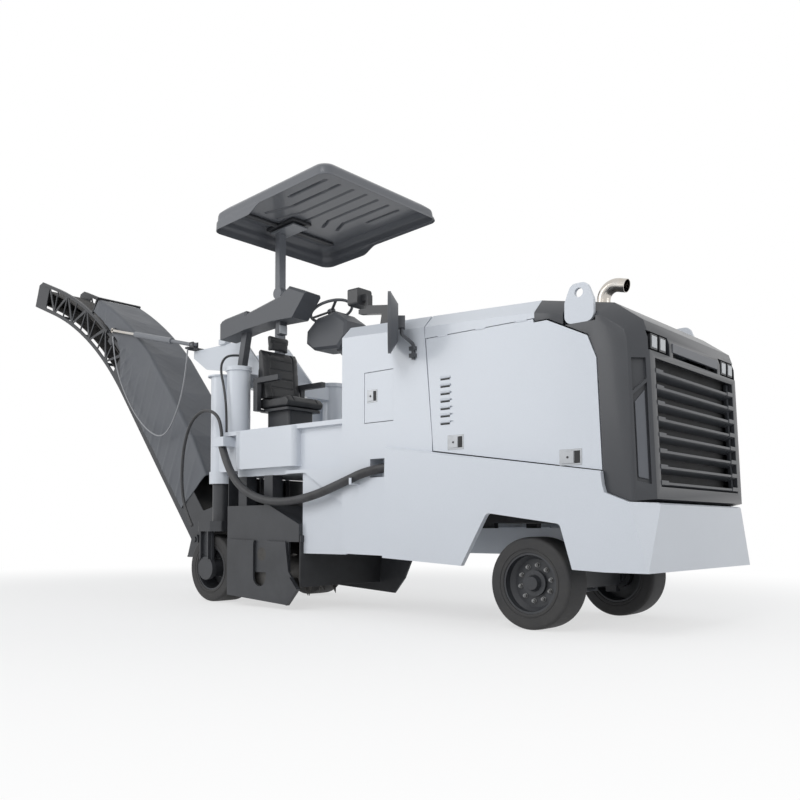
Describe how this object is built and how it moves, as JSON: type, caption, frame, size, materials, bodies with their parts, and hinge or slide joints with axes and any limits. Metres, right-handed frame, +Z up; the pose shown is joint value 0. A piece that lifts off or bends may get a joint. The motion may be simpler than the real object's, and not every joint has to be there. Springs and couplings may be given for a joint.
{
  "type": "cold planer",
  "caption": "wheeled cold planer with milling drum, raked discharge conveyor, canopied operator stand and slatted front grille",
  "frame": {"origin": "ground point under the middle of the machine's overall box, on the road surface", "axes": "+X forward to the grille, +Y to the machine's left, +Z up"},
  "size_m": [9.3, 2.4944, 4.1222],
  "materials": {
    "white_paint": "satin machinery white",
    "black_paint": "satin black powder coat",
    "charcoal_shell": "gloss charcoal moulded shell",
    "grey_paint": "satin grey paint",
    "tyre_rubber": "solid black rubber",
    "cut_steel": "worn steel",
    "stainless": "bright stainless pipe",
    "hose_rubber": "matt black hose",
    "belt_rubber": "matt conveyor rubber",
    "tarpaulin": "coated dark grey fabric",
    "seat_vinyl": "matt black vinyl",
    "canopy_shell": "dark grey moulded shell",
    "console_plastic": "textured dark grey plastic",
    "lamp_body": "black lamp housings",
    "amber_lens": "amber lens",
    "cast_grey": "dark cast iron",
    "grille_paint": "gloss charcoal slats"
  },
  "bodies": {
    "chassis": {"beacon": "amber_lens", "cabinet": "white_paint", "canopy": "canopy_shell", "canopy_post": "grey_paint", "console": "console_plastic", "drum_housing": "black_paint", "engine_block": "cast_grey", "exhaust": "stainless", "front_axle": "black_paint", "front_bumper": "white_paint", "front_lamps": "lamp_body", "front_mask": "charcoal_shell", "gallows": "white_paint", "grille": "grille_paint", "hood_roof": "white_paint", "hose_arch": "hose_rubber", "hose_bundle": "hose_rubber", "hose_thin": "hose_rubber", "lifting_eyes": "white_paint", "main_frame": "white_paint", "mirrors": "console_plastic", "platform": "white_paint", "primary_chute": "black_paint", "rear_frame": "white_paint", "seat_base": "black_paint", "seat_cushion": "seat_vinyl", "skirt_left": "white_paint", "skirt_right": "white_paint", "steering_console": "console_plastic", "work_lamp": "lamp_body"},
    "knuckle_right_body": {"knuckle_right": "black_paint"},
    "knuckle_left_body": {"knuckle_left": "black_paint"},
    "tie_rod_body": {"tie_rod": "grey_paint"},
    "wheel_front_right": {"tyre_front_right": "tyre_rubber", "rim_front_right": "black_paint"},
    "wheel_front_left": {"tyre_front_left": "tyre_rubber", "rim_front_left": "black_paint"},
    "wheel_rear_right": {"tyre_rear_right": "tyre_rubber", "rim_rear_right": "black_paint"},
    "wheel_rear_left": {"tyre_rear_left": "tyre_rubber", "rim_rear_left": "black_paint"},
    "leg_right_body": {"leg_right": "black_paint"},
    "leg_left_body": {"leg_left": "black_paint"},
    "drum": {"milling_drum": "cut_steel"},
    "side_plate_right_body": {"side_plate_right": "black_paint"},
    "side_plate_left_body": {"side_plate_left": "black_paint"},
    "scraper_body": {"scraper": "black_paint"},
    "service_door_body": {"service_door": "white_paint"},
    "engine_door_right_body": {"engine_door_right": "white_paint"},
    "engine_door_left_body": {"engine_door_left": "white_paint"},
    "slew": {"slew_yoke": "black_paint", "slew_head": "black_paint", "light_wire": "hose_rubber"},
    "boom": {"conveyor_frame": "black_paint", "conveyor_belt": "belt_rubber", "conveyor_cover": "tarpaulin"},
    "stay_barrel_body": {"stay_barrel": "grey_paint"},
    "stay_rod_body": {"stay_rod": "stainless"}
  },
  "joints": [
    {"name": "steer_right", "type": "hinge", "parent": "chassis", "child": "knuckle_right_body", "pos_m": [3.7, -0.51, 0.33], "axis": [0, 0, 1], "range_deg": [-25, 25]},
    {"name": "steer_left", "type": "hinge", "parent": "chassis", "child": "knuckle_left_body", "pos_m": [3.7, 0.51, 0.33], "axis": [0, 0, 1], "range_deg": [-25, 25]},
    {"name": "tie_rod_shift", "type": "slide", "parent": "chassis", "child": "tie_rod_body", "axis": [0, 1, 0], "range_m": [-0.068, 0.068]},
    {"name": "wheel_spin_front_right", "type": "hinge", "parent": "knuckle_right_body", "child": "wheel_front_right", "pos_m": [3.7, -0.7, 0.33], "axis": [0, 1, 0], "continuous": true},
    {"name": "wheel_spin_front_left", "type": "hinge", "parent": "knuckle_left_body", "child": "wheel_front_left", "pos_m": [3.7, 0.7, 0.33], "axis": [0, 1, 0], "continuous": true},
    {"name": "wheel_spin_rear_right", "type": "hinge", "parent": "leg_right_body", "child": "wheel_rear_right", "pos_m": [0.03, -0.7, 0.33], "axis": [0, 1, 0], "continuous": true},
    {"name": "wheel_spin_rear_left", "type": "hinge", "parent": "leg_left_body", "child": "wheel_rear_left", "pos_m": [0.03, 0.7, 0.33], "axis": [0, 1, 0], "continuous": true},
    {"name": "leg_lift_right", "type": "slide", "parent": "chassis", "child": "leg_right_body", "axis": [0, 0, 1], "range_m": [-0.08, 0.25]},
    {"name": "leg_lift_left", "type": "slide", "parent": "chassis", "child": "leg_left_body", "axis": [0, 0, 1], "range_m": [-0.08, 0.25]},
    {"name": "drum_spin", "type": "hinge", "parent": "chassis", "child": "drum", "pos_m": [0.9, -0.34, 0.485], "axis": [0, 1, 0], "continuous": true},
    {"name": "side_plate_lift_right", "type": "slide", "parent": "chassis", "child": "side_plate_right_body", "axis": [0, 0, 1], "range_m": [-0.03, 0.25]},
    {"name": "side_plate_lift_left", "type": "slide", "parent": "chassis", "child": "side_plate_left_body", "axis": [0, 0, 1], "range_m": [-0.03, 0.25]},
    {"name": "scraper_lift", "type": "slide", "parent": "chassis", "child": "scraper_body", "axis": [0, 0, 1], "range_m": [0, 0.12]},
    {"name": "service_door_swing", "type": "hinge", "parent": "chassis", "child": "service_door_body", "pos_m": [2.4997, -0.868, 1.78], "axis": [0, 0, 1], "range_deg": [0, 110]},
    {"name": "engine_door_swing_right", "type": "hinge", "parent": "chassis", "child": "engine_door_right_body", "pos_m": [3.35, -0.868, 2.175], "axis": [-1, 0, 0], "range_deg": [0, 80]},
    {"name": "engine_door_swing_left", "type": "hinge", "parent": "chassis", "child": "engine_door_left_body", "pos_m": [3.35, 0.868, 2.175], "axis": [1, 0, 0], "range_deg": [0, 80]},
    {"name": "conveyor_slew", "type": "hinge", "parent": "chassis", "child": "slew", "pos_m": [-0.89, 0, 0.4], "axis": [0, 0, 1], "range_deg": [-35, 35]},
    {"name": "conveyor_lift", "type": "hinge", "parent": "slew", "child": "boom", "pos_m": [-0.84969, 0, 0.59965], "axis": [0, -1, 0], "range_deg": [-4, 12]},
    {"name": "stay_pitch", "type": "hinge", "parent": "slew", "child": "stay_barrel_body", "pos_m": [-0.89, -0.345, 2.742], "axis": [0, -1, 0], "range_deg": [-5, 15]},
    {"name": "stay_stroke", "type": "slide", "parent": "stay_barrel_body", "child": "stay_rod_body", "axis": [-0.9702, 0, 0.2423], "range_m": [-0.15, 0.45]}
  ],
  "couplings": [
    {"joint": "steer_left", "follows": "steer_right", "ratio": 1},
    {"joint": "tie_rod_shift", "follows": "steer_right", "m_per_rad": -0.15},
    {"joint": "stay_pitch", "follows": "conveyor_lift", "ratio": 1.1994},
    {"joint": "stay_stroke", "follows": "conveyor_lift", "m_per_rad": 2.107}
  ]
}
